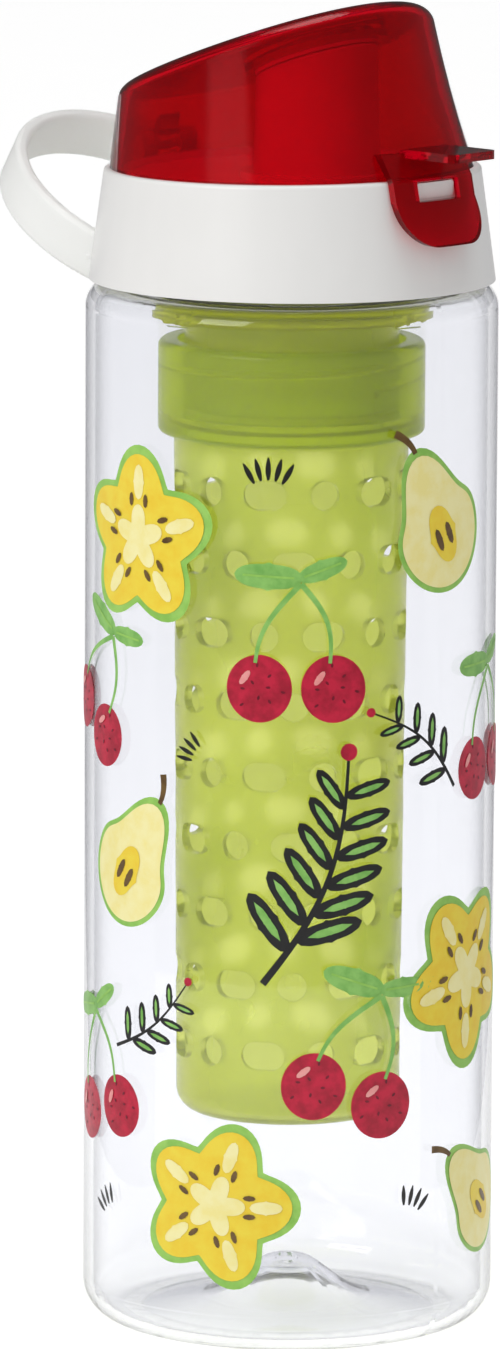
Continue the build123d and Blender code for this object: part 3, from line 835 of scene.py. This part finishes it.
def background_rays(tree):
    """Mask of the rays that see the white background: camera, mirror and see-through rays."""
    path = node(tree, "ShaderNodeLightPath", -700, 200)
    first = node(tree, "ShaderNodeMath", -500, 200, operation="MAXIMUM")
    join(tree, path.outputs["Is Camera Ray"], first.inputs[0])
    join(tree, path.outputs["Is Glossy Ray"], first.inputs[1])
    second = node(tree, "ShaderNodeMath", -350, 200, operation="MAXIMUM")
    join(tree, first.outputs["Value"], second.inputs[0])
    join(tree, path.outputs["Is Transmission Ray"], second.inputs[1])
    return second.outputs["Value"]


def make_world(ambient):
    """White where it is seen, and an even soft light of a given level on the object."""
    world = bpy.data.worlds.new("studio")
    bpy.context.scene.world = world
    world.use_nodes = True
    tree = world.node_tree
    background = tree.nodes["Background"]
    background.inputs["Color"].default_value = (1, 1, 1, 1)
    level = node(tree, "ShaderNodeMapRange", -200, 200)
    level.inputs["To Min"].default_value = ambient
    level.inputs["To Max"].default_value = 1.0
    join(tree, background_rays(tree), level.inputs["Value"])
    join(tree, level.outputs["Result"], background.inputs["Strength"])


def make_floor():
    """Round pale floor that shows white and keeps the bottle's soft shadow."""
    points = [(0, 0, 0)]
    steps = 96
    for step in range(steps):
        angle = 2 * math.pi * step / steps
        points.append((FLOOR_R * math.cos(angle), FLOOR_R * math.sin(angle), 0))
    faces = [(0, 1 + step, 1 + (step + 1) % steps) for step in range(steps)]
    mesh = bpy.data.meshes.new("floor")
    mesh.from_pydata(points, [], faces)
    floor = bpy.data.objects.new("floor", mesh)
    bpy.context.scene.collection.objects.link(floor)
    material = bpy.data.materials.new("floor_white")
    material.use_nodes = True
    tree = material.node_tree
    shader = tree.nodes["Principled BSDF"]
    shader.inputs["Base Color"].default_value = (0.9, 0.9, 0.9, 1)
    shader.inputs["Roughness"].default_value = 0.9
    shader.inputs["Specular IOR Level"].default_value = 0.1
    shader.inputs["Emission Color"].default_value = (1, 1, 1, 1)
    level = node(tree, "ShaderNodeMath", -200, -200, operation="MULTIPLY")
    level.inputs[1].default_value = FLOOR_GLOW
    join(tree, background_rays(tree), level.inputs[0])
    join(tree, level.outputs["Value"], shader.inputs["Emission Strength"])
    mesh.materials.append(material)


def make_card(name, points, faces, colour):
    """A card of a glowing colour that shows only in reflections."""
    mesh = bpy.data.meshes.new(name)
    mesh.from_pydata([tuple(point) for point in points], [], faces)
    card = bpy.data.objects.new(name, mesh)
    bpy.context.scene.collection.objects.link(card)
    material = bpy.data.materials.new(name + "_grey")
    material.use_nodes = True
    shader = material.node_tree.nodes["Principled BSDF"]
    shader.inputs["Base Color"].default_value = (0, 0, 0, 1)
    shader.inputs["Specular IOR Level"].default_value = 0
    shader.inputs["Emission Color"].default_value = colour
    shader.inputs["Emission Strength"].default_value = 1
    mesh.materials.append(material)
    card.visible_camera = False
    card.visible_diffuse = False
    card.visible_transmission = False
    card.visible_shadow = False


def make_board(name, side, grey):
    """Grey upright board beside the bottle."""
    out = side * BOARD_OUT
    points = [
        studio_place(out, BOARD_NEAR, BOARD_LOW),
        studio_place(out, BOARD_FAR, BOARD_LOW),
        studio_place(out, BOARD_FAR, BOARD_TOP),
        studio_place(out, BOARD_NEAR, BOARD_TOP),
    ]
    make_card(name, points, [(0, 1, 2, 3)], (grey, grey, grey * BOARD_COOLNESS, 1))


def make_screen(name, start, end, low):
    """Part of a dark round screen about the bottle, between two angles from the camera's side."""
    points = []
    for step in range(SCREEN_STEPS + 1):
        angle = math.radians(start + (end - start) * step / SCREEN_STEPS)
        for up in (low, SCREEN_TOP):
            points.append(studio_place(SCREEN_R * math.sin(angle), SCREEN_R * math.cos(angle), up))
    faces = [(2 * step, 2 * step + 2, 2 * step + 3, 2 * step + 1) for step in range(SCREEN_STEPS)]
    make_card(name, points, faces, (SCREEN_GREY, SCREEN_GREY, SCREEN_GREY, 1))


make_camera()
make_world(AMBIENT)
make_floor()
make_screen("front_screen", -100, 100, SCREEN_LOW)
make_screen("back_screen", 100, 260, SCREEN_BACK_LOW)
make_board("left_board", -1, 0.5)
make_board("right_board", 1, 0.5)
middle = Vector((0, 0, 0.15))
make_lamp("key_lamp", studio_place(-0.85, 0.95, 0.85), middle, 0.7, 8.2, (1.0, 0.99, 0.97))
make_lamp("top_lamp", studio_place(0.1, 0.1, 1.2), middle, 0.6, 2.5, (1.0, 1.0, 1.0))
bpy.context.scene.view_settings.view_transform = "Standard"
